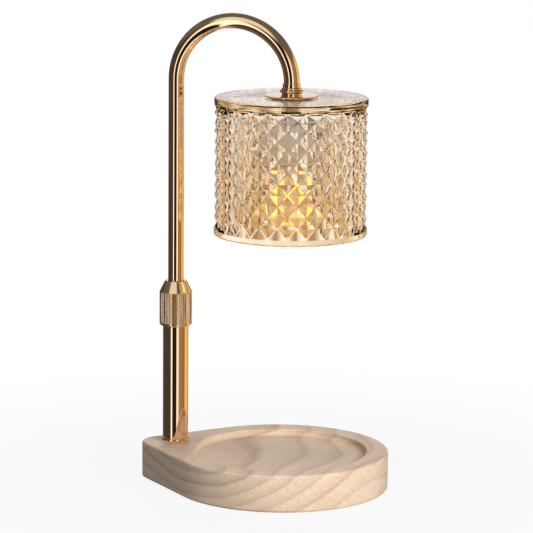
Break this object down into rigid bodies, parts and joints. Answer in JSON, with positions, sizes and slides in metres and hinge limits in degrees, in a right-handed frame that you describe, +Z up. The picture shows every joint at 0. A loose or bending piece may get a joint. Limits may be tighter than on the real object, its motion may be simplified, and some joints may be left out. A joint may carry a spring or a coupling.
{
  "type": "candle warmer lamp",
  "caption": "Table lamp that warms from above: teardrop wooden foot with a round recess, gold post with a height collar, swan-neck arm and faceted amber glass shade.",
  "frame": {"origin": "on the flat underside of the foot, below the centre of the round recess", "axes": "+Z up; +X from the post's axis towards the recess's centre; +Y towards the side of the cord gland"},
  "size_m": [0.163, 0.14, 0.3061],
  "materials": {
    "wood": "sanded pale rubberwood under a thin clear matt lacquer",
    "pad_foam": "fine-grained non-slip sheet",
    "plated_steel": "zinc plated",
    "black_rubber": "moulded, satin",
    "clear_silicone": "milky silicone",
    "lead_sheath": "heat-resistant sheath",
    "gold_brass": "polished, light gold plated",
    "plain_brass": "turned",
    "nylon": "natural nylon",
    "amber_glass": "pressed glass with a thin champagne-gold lustre",
    "ceramic": "unglazed white steatite",
    "reflector_glass": "bowl with a dichroic mirror coat",
    "lens_glass": "lightly frosted front glass, lit",
    "burner_quartz": "lit quartz burner"
  },
  "bodies": {
    "root": {"wooden_foot": "wood", "non_slip_pad": "pad_foam", "steel_weight": "plated_steel", "weight_screws": "plated_steel", "cord_gland": "black_rubber", "foot_lead": "lead_sheath", "foot_washer": "plated_steel", "foot_nut": "plated_steel", "foot_nipple": "plated_steel", "post_plug": "plain_brass", "post_tube": "gold_brass", "post_flange": "gold_brass", "post_head": "plain_brass", "slack_lead": "lead_sheath"},
    "collet": {"split_collet": "nylon"},
    "collar": {"clamping_collar": "gold_brass"},
    "guide": {"guide_bush": "nylon"},
    "arm": {"arm_tube": "gold_brass", "stop_ring": "plain_brass", "end_ferrule": "plain_brass", "arm_lead": "lead_sheath", "arm_end_fitting": "gold_brass", "cap_washer": "gold_brass", "upper_gasket": "clear_silicone", "lower_gasket": "clear_silicone", "glass_shade": "amber_glass", "shade_nipple": "plated_steel", "clamp_washer": "plated_steel", "clamp_nut": "plated_steel", "holder_bridge": "plated_steel", "lamp_holder": "ceramic", "holder_contacts": "plain_brass", "holder_screws": "plated_steel"},
    "bulb": {"bulb_base": "ceramic", "bulb_studs": "plain_brass", "bulb_reflector": "reflector_glass", "bulb_lens": "lens_glass", "bulb_burner": "burner_quartz"}
  },
  "joints": [
    {"name": "arm_height", "type": "slide", "parent": "root", "child": "guide", "axis": [0, 0, 1], "range_m": [-0.02, 0.026], "deforming": ["slack_lead"]},
    {"name": "arm_swivel", "type": "hinge", "parent": "guide", "child": "arm", "pos_m": [-0.071, 0, 0.065], "axis": [0, 0, 1], "range_deg": [-90, 90]},
    {"name": "collet_lift", "type": "slide", "parent": "root", "child": "collet", "axis": [0, 0, 1], "range_m": [0, 0.0005]},
    {"name": "collar_turn", "type": "hinge", "parent": "collet", "child": "collar", "pos_m": [-0.071, 0, 0.118], "axis": [0, 0, 1], "range_deg": [0, 180]},
    {"name": "bulb_twist", "type": "hinge", "parent": "arm", "child": "bulb", "pos_m": [0.0055, 0, 0.21], "axis": [0, 0, 1], "range_deg": [-40, 0]}
  ],
  "couplings": [
    {"joint": "collar_turn", "follows": "collet_lift", "rad_per_m": 6283.2}
  ]
}
